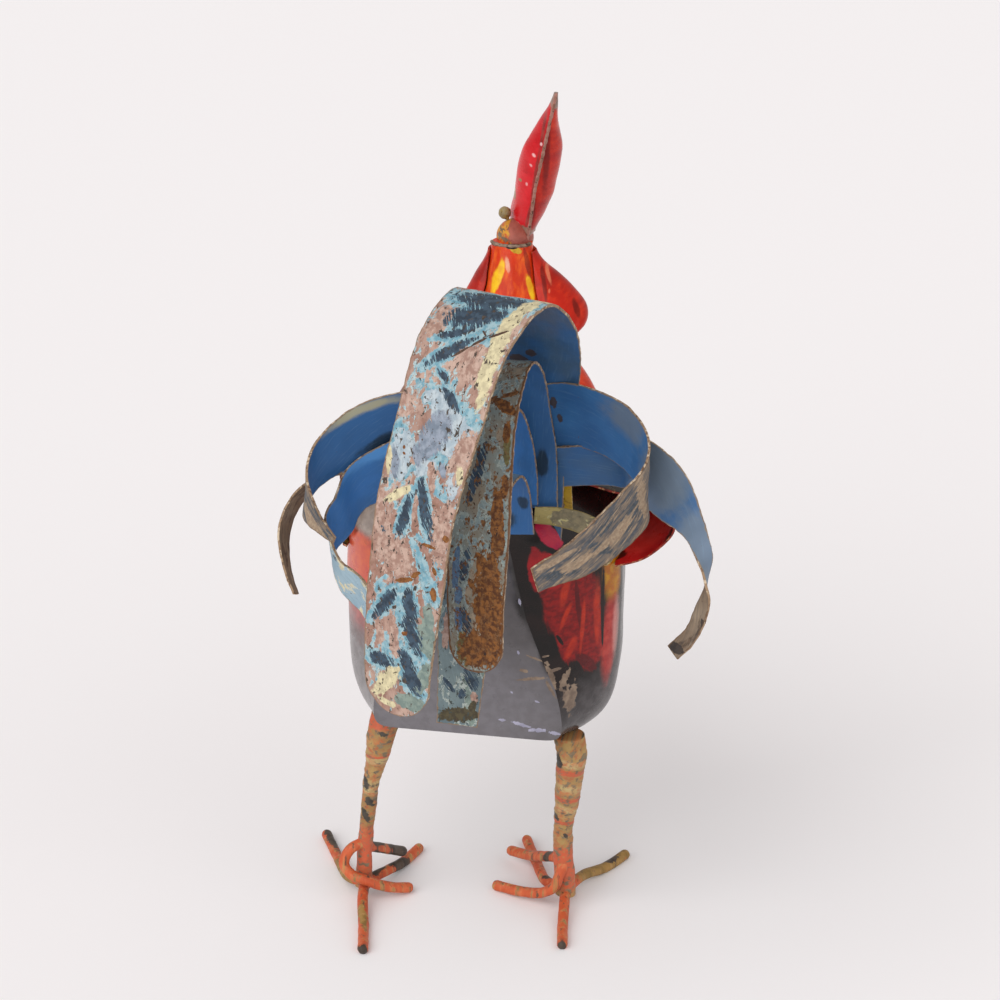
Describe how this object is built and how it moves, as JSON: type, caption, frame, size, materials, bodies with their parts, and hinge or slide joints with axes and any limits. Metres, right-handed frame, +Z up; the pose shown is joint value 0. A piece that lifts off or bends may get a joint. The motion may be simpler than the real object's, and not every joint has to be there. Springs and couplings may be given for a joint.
{
  "type": "iron rooster figurine",
  "caption": "A standing rooster welded from painted sheet iron, with arching strip tail feathers, a leaf-shaped comb and bent rod feet.",
  "frame": {"origin": "on the ground, at the middle of the bird's outline seen from above", "axes": "+Z up, the bird faces -Y, its right side is -X"},
  "size_m": [0.2724, 0.3716, 0.504],
  "materials": {
    "body_paint": "glossy dark grey paint with crimson, red and ochre brushed feathers",
    "neck_paint": "glossy orange-red paint with yellow brushed strokes",
    "comb_paint": "glossy red paint, chipped to brown iron along the seam",
    "head_paint": "glossy yellow-orange paint",
    "bare_iron": "brown rusted iron ball",
    "tail_paint": "blue inside, layered peeling paint and rust outside",
    "wing_paint": "dark red and brown paint",
    "feather_paint": "yellow and beige paint, worn",
    "leg_paint": "ochre paint with orange-red bands and grey flecks",
    "toe_paint": "orange-red paint with dark flecks, worn at the tips"
  },
  "bodies": {
    "root": {"body_shell": "body_paint", "neck_cone": "neck_paint", "head": "head_paint", "hackle_left": "neck_paint", "hackle_right": "neck_paint", "comb": "comb_paint", "eye_left": "bare_iron", "wattle_left": "comb_paint", "eye_right": "bare_iron", "wattle_right": "comb_paint", "beak_upper": "head_paint", "beak_lower": "head_paint", "wing_left": "wing_paint", "wing_right": "wing_paint", "sickle_main": "tail_paint", "sickle_second": "tail_paint", "sickle_third": "tail_paint", "sickle_short": "tail_paint", "curl_right_upper": "tail_paint", "curl_right_lower": "tail_paint", "curl_left_upper": "tail_paint", "curl_left_lower": "tail_paint", "curl_left_outer": "tail_paint", "feather_gold": "feather_paint", "feather_plate": "feather_paint", "feather_left": "feather_paint", "leg_left": "leg_paint", "toe_back_left": "toe_paint", "toe_outer_left": "toe_paint", "toe_inner_left": "toe_paint", "spur_low_left": "toe_paint", "spur_high_left": "toe_paint", "leg_right": "leg_paint", "toe_back_right": "toe_paint", "toe_outer_right": "toe_paint", "toe_inner_right": "toe_paint", "spur_low_right": "toe_paint", "spur_high_right": "toe_paint"}
  },
  "joints": []
}
